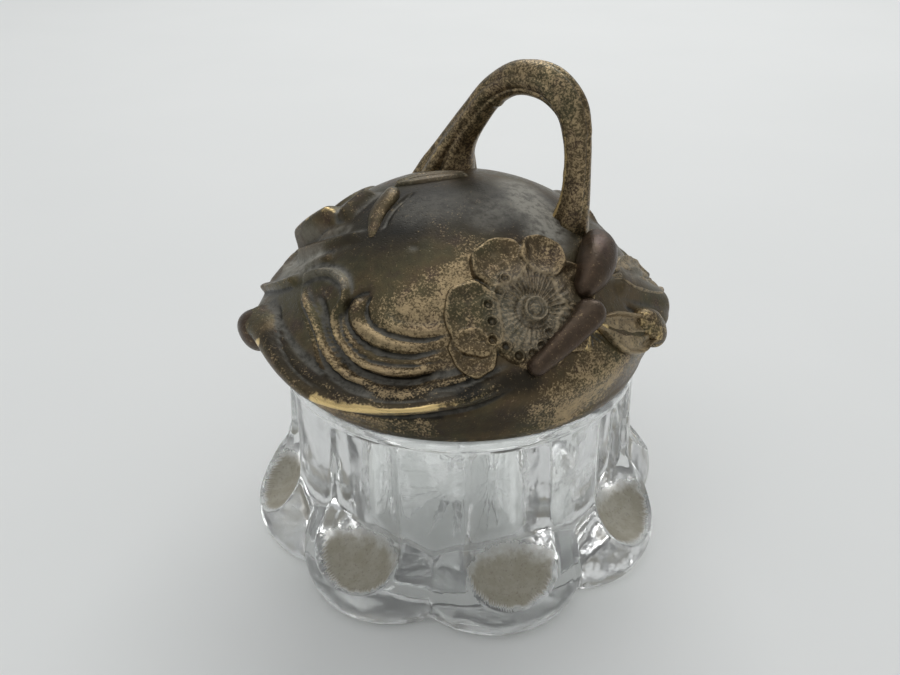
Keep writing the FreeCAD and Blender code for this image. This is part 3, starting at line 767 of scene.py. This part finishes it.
def sculpt_left(lid):
    """The scroll's flare, the dusty strip behind it and the leaves of the rear left."""
    lid.ridge([(-98, 9), (-90, 12.5), (-80, 16), (-70, 19.4)], 1.5, 2.0, 1.4, fade=(0.1, 0.1))
    lid.ridge([(-102, 15), (-92, 17.8), (-80, 21), (-72, 23)], -0.8, 2.6, 2.6, fade=(0.1, 0.2))
    lid.ridge([(-72, 21), (-67, 23.4), (-60, 25.2)], 0.8, 2.0, 0.6, fade=(0.2, 0.15))
    lid.ridge([(-90, 20.2), (-80, 23.5), (-70, 26.4), (-62, 28.6), (-54, 30.2)], 0.9, 0.6, 3.0,
              fade=(0.1, 0.2))
    lid.ridge([(-94, 21), (-84, 24.4), (-74, 27.2), (-66, 29.2)], -0.9, 1.4, 0.8, fade=(0.1, 0.2))
    lid.ridge([(-72, 34.4), (-60, 33), (-48, 30.6)], -0.55, 1.2, 0.6, fade=(0.15, 0.15))
    lid.paint("rubbed", [(-70, 34.3), (-58, 32.6), (-48, 30.4)], 0.7, 0.45)
    lid.ridge([(-102, 18.5), (-98, 22), (-93, 25.4), (-86, 29)], 3.2, 4.4, 3.0, fade=(0.2, 0.2), power=1.6)
    lid.ridge([(-96, 18.8), (-92, 21.4), (-87, 24.4), (-83, 27)], -0.8, 0.9, 0.9, fade=(0.2, 0.2))
    lid.ridge([(-80, 28.4), (-88, 30.4), (-100, 32)], 2.0, 3.0, 3.0, fade=(0.2, 0.2))
    for row in (
        ("rubbed", [(-99, 21.4), (-94, 25), (-88, 28)], 1.6, 0.55),
        ("rubbed", [(-79, 29.2), (-84, 30.2)], 1.3, 0.45),
        ("dusty", [(-98, 14.5), (-88, 17.5), (-78, 21), (-70, 23.4)], 4.2, 0.85),
        ("dusty", [(-98, 20), (-84, 25.4), (-70, 28.6)], 2.2, 0.45),
    ):
        lid.paint(*row)
    lid.lump((-24, 30.0), -0.25, 1.6, 1.2)


def sculpt_right(lid):
    """The leaf that lies over the brim at the right, and the skirt's rubbed side."""
    lid.ridge([(64, 21.5), (72, 18.5), (80, 15), (88, 11)], 1.5, 4.6, 4.2, fade=(0.15, 0.15), power=1.2)
    lid.ridge([(62, 16.5), (70, 12.5), (78, 9)], -0.6, 1.0, 1.0, fade=(0.2, 0.2))
    lid.ridge([(76, 20.2), (82, 18), (88, 16.2)], 1.1, 0.6, 1.6, fade=(0.3, 0.1))
    lid.ridge([(92, 17), (100, 12), (106, 8)], 1.0, 2.6, 1.8, fade=(0.2, 0.2))
    for row in (
        ("thin", [(24, 5), (32, 8), (40, 11)], 8.0, 0.7),
        ("rubbed", [(26, 5), (33, 9), (39, 12)], 6.0, 0.3),
        ("thin", [(50, 8), (62, 6)], 6.0, 0.5),
        ("thin", [(58, 24), (66, 26), (78, 25)], 4.5, 0.6),
        ("rubbed", [(-71, 5.6), (-66, 7.6), (-64, 9.6)], 1.4, 0.8),
        ("thin", [(30, 3), (44, 5)], 4.0, 0.6),
        ("dusty", [(66, 22.4), (78, 18.5), (86, 14)], 4.0, 0.6),
        ("dusty", [(50, 30), (60, 31), (72, 32.8), (93, 33.8)], 6.5, 1.0),
        ("dusty", [(20, 33), (60, 33.4)], 5.0, 0.35),
        ("dusty", [(-40, 33.5), (0, 34.5), (60, 33.5)], 7.0, 0.22),
    ):
        lid.paint(*row)


def sculpt_rear(lid):
    """The far side, kept in the same manner: two long folds that meet at a curled shell."""
    for turn, way in ((-138.0, 1.0), (140.0, -1.0)):
        def path(*spots):
            return [(turn + way * a, h) for a, h in spots]

        lid.ridge(path((-2, 16), (10, 13), (24, 10.4), (38, 9.4), (52, 10.4)), 1.9, 2.8, 2.4,
                  fade=(0.1, 0.3), power=1.4)
        lid.ridge(path((-6, 21), (6, 18), (20, 14.8), (34, 13.4), (46, 14.4)), 1.3, 1.5, 1.4,
                  fade=(0.15, 0.25))
        lid.ridge(path((0, 24.6), (10, 22), (24, 18.6), (36, 17.4)), 1.0, 1.3, 1.2, fade=(0.2, 0.3))
        lid.ridge(path((-20, 9), (-12, 12.6), (-4, 16)), 1.6, 2.2, 1.8, fade=(0.15, 0.15))
        lid.ridge(path((-26, 15), (-16, 19), (-6, 22.6)), 1.0, 1.4, 1.4, fade=(0.2, 0.2))
        lid.ridge(path((2, 19.6), (14, 16.4), (28, 13)), -0.6, 1.2, 1.2, fade=(0.2, 0.3))
        lid.paint("rubbed", path((8, 12.6), (20, 10.6), (32, 9.2)), 1.4, 0.7)
        lid.paint("thin", path((0, 22), (16, 18.6), (30, 16)), 4.0, 0.6)
    lid.lump((180, 9.5), 2.0, 7.5, 4.6, power=1.2)
    for turn in (-11.0, -5.5, 0.0, 5.5, 11.0):
        lid.ridge([(180 + 0.35 * turn, 5.6), (180 + turn, 13.4)], -0.6, 0.7, 0.7, fade=(0.2, 0.15))
    lid.ridge([(165, 14), (172, 15.4), (180, 16), (188, 15.4), (195, 14)], 1.1, 1.5, 1.0,
              fade=(0.15, 0.15))
    lid.ridge([(96, 24), (112, 27), (128, 26), (138, 22.6)], 1.0, 1.8, 1.0, fade=(0.2, 0.2))
    lid.ridge([(-112, 22), (-122, 26), (-134, 26.4), (-144, 23.6)], 1.0, 1.0, 1.8, fade=(0.2, 0.2))


def make_lid():
    """The lid's shell: the sculpted outside, the flat seat, and the plain hollow inside."""
    azimuth = np.arange(LID_COLUMNS) * 360.0 / LID_COLUMNS - 180.0
    steps = np.linspace(1.0, 0.0, LID_ROWS + 1)[1:] ** 0.96
    points = skin_at(azimuth[None, :], steps[:, None])
    out = out_of(points)
    lid = Relief(points, out)
    sculpt_front(lid)
    sculpt_left(lid)
    sculpt_right(lid)
    sculpt_rear(lid)
    height = lid.height.reshape(points.shape[:2])
    height *= smooth(0.0, 1.6, points[..., 2] - RIM)  # the seat stays flat and round
    outside = points + out * height[..., None]
    turn = np.radians(azimuth)
    inside = []

    def add(radius, level):
        inside.append(about_axis(radius, turn, level))

    inner, spring = RIM_RADIUS - RIM_WALL, RIM + FLANGE_THICKNESS
    rise = DOME_HEIGHT - LID_WALL - FLANGE_THICKNESS
    add(RIM_RADIUS - 0.3, RIM)
    add(inner + 0.1, RIM)
    add(inner, spring)
    for angle in np.radians(np.linspace(12.0, 84.0, 8)):
        add(inner * math.cos(angle), spring + rise * math.sin(angle))
    rows = np.concatenate([outside, np.array(inside)])
    marks = {}
    for name, grid in lid.marks.items():
        grid = np.clip(grid, 0.0, 1.3).reshape(points.shape[:2])
        marks[name] = np.concatenate([grid, np.zeros((len(inside), LID_COLUMNS))])
    poles = ((0.0, 0.0, RIM + DOME_HEIGHT), (0.0, 0.0, spring + rise))
    add_piece("lid_dome", rows, poles, "lid", ["lid_shell"], GILT, marks, rounds=14)


def make_ring():
    """The flanged ring inside the rim: a soft-edged collar turned about the pot's axis."""
    outer, inner, flange, depth = 29.05, 28.05, 36.35, 5.0
    thickness = FLANGE_THICKNESS
    outline = [(inner + 0.3, -depth), (outer - 0.3, -depth), (outer, -depth + 0.3), (outer, -0.4),
               (outer + 0.3, -0.02), (flange, 0.0), (flange, thickness), (inner + 1.2, thickness),
               (inner + 0.3, thickness - 0.3), (inner, thickness - 1.1), (inner, -depth + 0.3)]
    corners = np.array(outline + outline[:1])
    dense = []
    for first, second in zip(corners[:-1], corners[1:]):
        for share in (0.0, 0.25, 0.5, 0.75):
            dense.append(first + (second - first) * share)
    columns = 288
    turn = np.arange(columns) * 2.0 * math.pi / columns
    rows = np.array([about_axis(radius, turn, RIM + level) for radius, level in dense])
    add_band("collar_ring", rows, "lid", ["locating_ring"], GILT_INSIDE)


# ---------------------------------------------------------------- handle

HANDLE_REAR, HANDLE_FRONT = (-169.0, 15.9), (73.0, 23.2)  # azimuth and radius of each foot
HANDLE_RISE = 55.4
HANDLE_THICKNESS = 6.0
HANDLE_STATIONS = (  # share of the span, share of the rise, share of the thickness
    (0.00, 0.50, 2.50), (0.05, 0.60, 1.95), (0.11, 0.70, 1.32), (0.25, 0.83, 1.00),
    (0.40, 0.935, 0.96), (0.60, 0.998, 1.08), (0.80, 0.99, 1.14), (0.93, 0.93, 1.05),
    (0.98, 0.83, 0.90), (0.995, 0.71, 0.88), (0.99, 0.61, 1.00), (0.965, 0.52, 1.30),
    (0.94, 0.45, 1.60),
)


def make_handle():
    """The arched branch: grooved like bark, with rooted feet that spread over the dome."""
    rear, front = (about_axis(radius, math.radians(azimuth), RIM)
                   for azimuth, radius in (HANDLE_REAR, HANDLE_FRONT))
    span = front - rear
    up = np.array([0.0, 0.0, 1.0])
    stations = np.array(HANDLE_STATIONS)
    centres = rear + span * stations[:, :1] + up * stations[:, 1:2] * HANDLE_RISE
    reach = np.concatenate([[0.0], np.cumsum(np.linalg.norm(np.diff(centres, axis=0), axis=1))])
    places = np.linspace(0.0, reach[-1], 300)
    path = curve_through(reach, centres, places)
    thick = curve_through(reach, stations[:, 2], places)[:, 0] * HANDLE_THICKNESS / 2
    along = unit(np.gradient(path, axis=0))
    across = unit(np.cross(span, up))
    over = np.cross(along, across)  # points out of the arch
    around = np.linspace(0.0, 2.0 * math.pi, 112, endpoint=False)
    share = (places / places[-1])[:, None]
    twist = 1.1 * share - 0.35
    phase = around[None, :] + twist

    def groove(angle, width):
        turn = (phase - angle + math.pi) % (2.0 * math.pi) - math.pi
        return np.exp(-((turn / width) ** 2))

    rough = 0.10 * groove(0.2, 0.5) - 0.26 * groove(1.15, 0.15) - 0.20 * groove(2.1, 0.17)
    rough += 0.10 * groove(1.65, 0.25) - 0.20 * groove(3.5, 0.16) + 0.08 * groove(4.1, 0.3)
    rough -= 0.12 * groove(5.2, 0.2)
    wander = 0.6 + 0.4 * np.sin(9.0 * share + 3.0 * np.sin(2.0 * phase))
    feet = smooth(0.22, 0.0, share) + 0.8 * smooth(0.84, 1.0, share)
    rough = rough * (0.75 * wander + 0.9 * feet)
    rough += feet * 0.10 * np.cos(5.0 * phase + 0.8)
    for place, angle, size, length in ((0.36, 0.3, 0.13, 0.012), (0.70, 3.4, 0.16, 0.014),
                                       (0.52, 1.8, 0.08, 0.016), (0.81, 0.4, 0.08, 0.012),
                                       (0.27, 4.6, 0.10, 0.015)):
        rough += size * groove(angle, 0.6) * np.exp(-(((share - place) / length) ** 2))
    radius = thick[:, None] * (1.0 + rough)
    flatten = 1.0 - 0.10 * smooth(0.3, 0.6, share) * smooth(0.95, 0.75, share)
    points = (
        path[:, None, :]
        + over[:, None, :] * (radius * np.cos(around))[..., None]
        + across * (radius * flatten * np.sin(around))[..., None]
    )
    plan = np.hypot(points[..., 0], points[..., 1])
    shell = RIM + DOME_HEIGHT * np.sqrt(np.clip(1.0 - (plan / DOME_RADIUS) ** 2, 0.0, 1.0)) - 1.2
    points[..., 2] = np.maximum(points[..., 2], shell)
    poles = (points[0].mean(0), points[-1].mean(0))
    inner = np.maximum(-np.cos(around), 0.0)[None, :] * np.ones_like(share)
    rubbed = 0.55 * inner * smooth(0.0, 0.1, share) * smooth(0.42, 0.25, share)
    rubbed = rubbed + 0.85 * groove(0.9, 0.20) * smooth(0.66, 0.8, share)
    rubbed = rubbed + 0.80 * groove(1.65, 0.16) * (0.4 + 0.6 * smooth(0.5, 0.8, share))
    marks = {"rubbed": rubbed, "thin": 0.68 * np.ones_like(rubbed),
             "dusty": 0.35 * smooth(0.94, 1.0, share) * np.ones_like(rubbed)}
    add_piece("branch_arch", points, poles, "lid", ["branch_handle"], GILT_DARK,
              marks, rounds=6)


# ---------------------------------------------------------------- blossom, buds and leaves

BLOSSOM = (24.2, 21.9)  # azimuth and height of its middle
# direction in degrees from level left, reach, half length, half width, relief
PETALS = (
    (4.0, 11.6, 5.4, 7.2, 1.9),
    (72.0, 10.8, 4.8, 5.6, 2.0),
    (119.0, 11.0, 4.2, 4.6, 2.7),
    (165.0, 10.0, 4.6, 5.2, 1.7),
    (214.0, 8.6, 4.0, 4.6, 1.3),
    (339.0, 14.4, 4.4, 4.6, 1.7),
)
# direction and distance of each pit that an anther ends in
ANTHERS = ((18, 8.6), (39, 7.1), (357, 8.4), (338, 10.0), (323, 8.9), (305, 9.2), (289, 8.1),
           (276, 6.8), (254, 4.9), (60, 7.4))


def tangent_frame(spot):
    """A point of the skin with the directions straight out of it, sideways and upwards."""
    centre = on_skin(*spot)
    out = out_of(centre)
    side = unit(np.cross(out, [0.0, 0.0, 1.0]))
    return centre, out, side, np.cross(side, out)


def make_blossom():
    """Cupped, rimmed petals round a ringed button, with stamens and anthers between."""
    centre, out, side, rise = tangent_frame(BLOSSOM)
    columns, top_rows = 420, 96
    turn = np.arange(columns) * 2.0 * math.pi / columns
    share = np.linspace(0.02, 1.0, top_rows)[:, None]

    def petal_field(x, y):
        """Height of the petals at a place, and how near the place is to a petal's rim."""
        total = np.full(x.shape, -1.0)
        rims = np.zeros(x.shape)
        for angle, reach, length, width, relief in PETALS:
            a = math.radians(angle)
            u = (x * math.cos(a) + y * math.sin(a) - reach) / length
            v = (y * math.cos(a) - x * math.sin(a)) / width
            far = np.sqrt(np.abs(u) ** 2.3 + np.abs(v) ** 2.3) + 1e-6
            wave = 0.03 * np.sin(7.0 * np.arctan2(v, u) + angle)
            far = far * (1.0 + wave)
            body = 0.72 * relief * (0.42 + 0.58 * smooth(0.35, 0.90, far) - 0.25 * smooth(-0.2, -1.0, u))
            body -= 0.17 * np.cos(11.0 * v) * smooth(0.1, 0.4, far) * (far < 0.9)
            body = body * (1.0 - smooth(0.93, 1.10, far)) - 0.9 * smooth(1.0, 1.14, far)
            total = np.maximum(total, body)
            rims = np.maximum(rims, np.exp(-(((far - 0.92) / 0.07) ** 2)))
        return total, rims

    # the outline follows the petals: the furthest place in each direction where one still stands
    probe = np.linspace(4.0, 20.5, 120)[:, None]
    stands, _ = petal_field(probe * np.cos(turn), probe * np.sin(turn))
    outline = np.where(stands > -0.55, probe, 0.0).max(0) + 0.45
    outline = np.maximum(outline, np.where(np.cos(turn) > -0.3, 11.4, 8.0))
    for _ in range(3):
        outline = np.maximum(outline, (np.roll(outline, 1) + np.roll(outline, -1)) / 2)
    reach = share * outline[None, :]
    x, y = reach * np.cos(turn), reach * np.sin(turn)
    height, rims = petal_field(x, y)
    # the hollow heart: stamens fan out from the button
    heart = 0.35 + 0.40 * smooth(2.6, 6.5, reach)
    fan = np.cos(34.0 * turn[None, :] + 0.6 * np.sin(3.0 * turn[None, :]))
    upper = 0.35 + 0.65 * smooth(-0.2, 0.5, np.sin(turn - 0.35))[None, :]
    heart += 0.24 * fan * upper * smooth(2.8, 3.8, reach) * (1.0 - smooth(7.0, 9.0, reach))
    edge = smooth(10.0, 12.0, reach)
    height = soft_max(height, heart * (1.0 - edge) - 0.9 * edge, 0.25)
    for angle, distance in ANTHERS:
        a = math.radians(angle)
        away = np.hypot(x - distance * math.cos(a), y - distance * math.sin(a))
        height += 0.50 * np.exp(-(((away - 0.95) / 0.32) ** 2))
        height -= 0.55 * np.clip(1.0 - (away / 0.85) ** 2, 0.0, 1.0)
    button = 1.15 * (1.0 - smooth(1.9, 2.7, reach)) + 0.35 * np.exp(-(((reach - 2.05) / 0.4) ** 2))
    button -= 0.5 * np.exp(-(((reach - 1.35) / 0.30) ** 2))
    button -= 0.35 * np.exp(-(((reach - 3.15) / 0.45) ** 2))
    height = height + np.where(reach < 4.2, button, 0.0)
    flat = centre + side * x[..., None] + rise * y[..., None]
    base, normal = skin_under(flat)
    drop = 0.9 * smooth(0.975, 1.0, share)
    top = base + normal * (np.maximum(height, -0.6) - drop * (height > -0.3))[..., None]
    low_share = np.linspace(1.0, 0.05, 8)[:, None]
    reach_low = low_share * outline[None, :]
    low_base, low_normal = skin_under(
        centre
        + side * (reach_low * np.cos(turn))[..., None]
        + rise * (reach_low * np.sin(turn))[..., None]
    )
    bottom = low_base - low_normal * 1.3
    rows = np.concatenate([top, bottom])
    poles = (top[0].mean(0), bottom[-1].mean(0))
    fill = np.zeros((len(bottom), columns))
    worn = {
        "rubbed": 0.40 * rims * upper,
        "thin": 0.42 + 0.55 * rims + 0.25 * (1.0 - smooth(6.0, 10.0, reach)),
        "dusty": 0.40 * (1.0 - smooth(5.5, 10.5, reach)),
    }
    marks = {name: np.concatenate([grid, fill]) for name, grid in worn.items()}
    add_piece("large_blossom_petals", rows, poles, "lid", ["large_blossom"], GILT,
              marks, rounds=6)


def make_rod(name, node, spots, heights, radii, material, marks, squash):
    """A rounded bar laid over the dome, with its own radius at each spot and rounded ends."""
    spots = np.array(spots, float)
    base = on_skin(spots[:, 0], spots[:, 1])
    centres = base + out_of(base) * np.array(heights)[:, None]
    reach = np.concatenate([[0.0], np.cumsum(np.linalg.norm(np.diff(centres, axis=0), axis=1))])
    # cosine spacing closes the ends as half rounds
    places = reach[-1] * (0.5 - 0.5 * np.cos(np.linspace(0.0, math.pi, 90)))
    path = curve_through(reach, centres, places)
    radius = curve_through(reach, radii, places)[:, 0]
    ends = np.minimum(places / radius[0], 1.0) * np.minimum((places[-1] - places) / radius[-1], 1.0)
    radius = radius * np.sqrt(np.clip(1.0 - (1.0 - ends) ** 2, 0.0, 1.0)) + 0.02
    along = unit(np.gradient(path, axis=0))
    normal = out_of(path)
    normal = unit(normal - along * (normal * along).sum(1)[:, None])
    side = np.cross(along, normal)
    around = np.linspace(0.0, 2.0 * math.pi, 72, endpoint=False)
    share = np.linspace(0.0, 1.0, len(places))[:, None]
    wobble = 1.0 + 0.035 * np.sin(3.0 * around + 9.0 * share) + 0.03 * np.sin(11.0 * share + around)
    points = (
        path[:, None, :]
        + normal[:, None, :] * (radius[:, None] * wobble * np.cos(around) * squash)[..., None]
        + side[:, None, :] * (radius[:, None] * wobble * np.sin(around))[..., None]
    )
    marks = even_marks(points.shape[:2], *marks)
    add_piece(name, points, (path[0], path[-1]), "lid", [node], material, marks, rounds=6)


LEAF_FOOT = 1.3  # how deep a leaf is let into the skin below it


def make_leaf(name, node, spots, widths, relief, material, marks, veins, cup):
    """A closed leaf laid on the dome along a path: crowned or cupped, with a groove for its rib."""
    path = skin_path(spots, 70)
    along = unit(np.gradient(path, axis=0))
    out = out_of(path)
    side = unit(np.cross(along, out))
    share = np.linspace(0.0, 1.0, len(path))
    width = np.maximum(curve_through(np.linspace(0.0, 1.0, len(widths)), widths, share)[:, 0], 0.05)
    across = np.linspace(-1.0, 1.0, 41)
    flat = path[:, None, :] + side[:, None, :] * (across * width[:, None])[..., None]
    base, normal = skin_under(flat)
    ends = smooth(0.0, 0.10, share) * smooth(0.0, 0.10, 1.0 - share)
    crown = (1.0 - across**2) ** 0.5
    lip = np.exp(-(((np.abs(across) - 0.86) / 0.12) ** 2))
    height = relief * ((1.0 - cup) * crown + cup * lip)[None, :] * ends[:, None]
    height = height - 0.30 * relief * np.exp(-((across / 0.09) ** 2)) * ends[:, None]
    height += veins * np.cos(26.0 * share[:, None] - 5.0 * np.abs(across)) * crown * ends[:, None]
    top = base + normal * (height - 0.15)[..., None]
    bottom = base - normal * LEAF_FOOT
    rows = np.concatenate([top, bottom[:, ::-1][:, 1:-1]], axis=1)
    poles = (rows[0].mean(0), rows[-1].mean(0))
    marks = even_marks(rows.shape[:2], *marks)
    add_piece(name, rows, poles, "lid", [node], material, marks, rounds=5)


# A rod: name, node, spots, heights of the centre line, radii, material, marks (rubbed, thin, dusty), squash.
# A leaf: name, node, spots, half widths, relief, material, marks, depth of veins, share of the cupped lip.
ORNAMENTS = (
    (make_rod, "flower_stem_bar", "flower_stem", [(45, 19.6), (36, 17.8), (27, 15.8), (18, 13.4)],
     (2.3, 2.2, 1.8, 0.9), (3.5, 2.5, 2.1, 1.7), GILT_PLUM, (0.12, 0.1, 0.0), 1.0),
    (make_rod, "bud_pod", "bud", [(73, 26.4), (62, 25), (51, 23.4), (42, 21.8)],
     (1.0, 1.8, 1.8, 1.2), (2.0, 3.6, 3.3, 1.5), GILT_PLUM, (0.0, 0.05, 0.0), 1.0),
    (make_rod, "curled_bud_pod", "curled_bud", [(-92, 33.4), (-78, 33.2), (-63, 31.8), (-50, 29.6)],
     (0.1, 0.2, 0.0, -0.3), (1.2, 2.0, 1.8, 0.8), GILT_DARK, (0.1, 0.3, 0.0), 0.7),
    (make_leaf, "crown_leaf", "dome_leaf", [(-103, 33.2), (-112, 34.5), (150, 35.2)],
     (0.4, 2.6, 2.4, 0.4), 1.2, GILT, (0.1, 0.3, 0.2), 0.0, 0.35),
    (make_leaf, "side_petal", "side_blossom", [(46, 16.9), (53, 14.2), (61, 12.2), (70, 11)],
     (0.8, 3.4, 4.1, 3.5, 1.0), 1.8, GILT, (0.38, 1.0, 0.15), 0.12, 0.8),
    (make_leaf, "side_leaf", "side_blossom", [(64, 21.6), (74, 19.6), (84, 16.4), (94, 12.4)],
     (0.8, 3.6, 4.2, 3.6, 0.8), 2.5, GILT, (0.30, 0.8, 0.3), 0.14, 0.4),
    (make_rod, "side_scroll_end", "side_blossom", [(64, 13.4), (69, 11), (71, 8.4), (70, 6)],
     (-0.6, -0.9, -1.2, -1.4), (2.0, 3.2, 3.0, 1.8), GILT, (0.45, 0.5, 0.0), 1.0),
    (make_rod, "left_scroll_knob", "lid_shell",
     [(-82, 7.6), (-76, 8.0), (-70, 8.5), (-65, 8.8), (-58, 8.4)],
     (-1.6, -0.6, -1.3, -0.6, -0.6), (3.2, 4.3, 3.0, 3.4, 2.2), GILT_PLUM, (0.3, 0.2, 0.0), 1.0),
)


# ---------------------------------------------------------------- stage, light and camera

LAMP_TARGET = Vector((0.0, 0.0, 0.03))
FLOOR_GAP = 0.00012  # metres that the bench lies under the foot, so that rays leave the glass first


def make_stage():
    """The bench, as a grid of squares."""
    mesh = bpy.data.meshes.new("bench")
    size, steps = 3.0, 12
    ticks = np.linspace(-size, size, steps + 1)
    vertices = [(x, y, -FLOOR_GAP) for y in ticks for x in ticks]
    faces = [
        (r * (steps + 1) + c, r * (steps + 1) + c + 1, (r + 1) * (steps + 1) + c + 1,
         (r + 1) * (steps + 1) + c)
        for r in range(steps) for c in range(steps)
    ]
    mesh.from_pydata(vertices, [], faces)
    bench = bpy.data.objects.new("bench", mesh)
    mesh.materials.append(floor_material())
    bpy.context.scene.collection.objects.link(bench)


def area_light(name, place, size, power):
    """A white rectangular lamp, aimed at the middle of the glass."""
    data = bpy.data.lights.new(name, "AREA")
    data.shape = "RECTANGLE"
    data.size, data.size_y = size
    data.energy = power
    lamp = bpy.data.objects.new(name, data)
    lamp.location = place
    lamp.rotation_euler = (LAMP_TARGET - Vector(place)).to_track_quat("-Z", "Y").to_euler()
    bpy.context.scene.collection.objects.link(lamp)


def make_light():
    """A pale room, darker below, and two soft lamps."""
    world = bpy.data.worlds.new("pale_room")
    world.use_nodes = True
    bpy.context.scene.world = world
    tree = world.node_tree
    background = tree.nodes["Background"]
    place = tree.nodes.new("ShaderNodeTexCoord")
    split = tree.nodes.new("ShaderNodeSeparateXYZ")
    tree.links.new(place.outputs["Generated"], split.inputs[0])
    ramp = tree.nodes.new("ShaderNodeValToRGB")
    stops = ramp.color_ramp.elements
    stops[0].position, stops[0].color = 0.0, (0.60, 0.62, 0.62, 1.0)
    stops[1].position, stops[1].color = 1.0, (0.90, 0.92, 0.93, 1.0)
    middle = stops.new(0.25)
    middle.color = (0.74, 0.76, 0.77, 1.0)
    tree.links.new(split.outputs["Z"], ramp.inputs[0])
    tree.links.new(ramp.outputs[0], background.inputs[0])
    background.inputs[1].default_value = 0.60
    area_light("window_behind", (0.15, 0.75, 0.85), (0.9, 0.6), 4.9)
    area_light("ceiling_panel", (-0.25, -0.1, 0.95), (0.5, 0.9), 0.9)


def make_camera():
    """The photographer's view, from the front and above."""
    data = bpy.data.cameras.new("camera")
    data.lens = 38.0
    data.sensor_width = 36.0
    data.clip_start = 0.01
    camera = bpy.data.objects.new("camera", data)
    tilt, roll = math.radians(60.07), math.radians(-0.276)
    camera.matrix_world = (
        Matrix.Translation((-0.00204, -0.17746, 0.14542))
        @ Matrix.Rotation(tilt, 4, "X")
        @ Matrix.Rotation(roll, 4, "Z")
    )
    bpy.context.scene.collection.objects.link(camera)
    bpy.context.scene.camera = camera


make_pot()
make_lid()
make_ring()
make_handle()
make_blossom()
for make, *details in ORNAMENTS:
    make(*details)
make_stage()
make_light()
make_camera()
bpy.context.scene.view_settings.view_transform = "Standard"
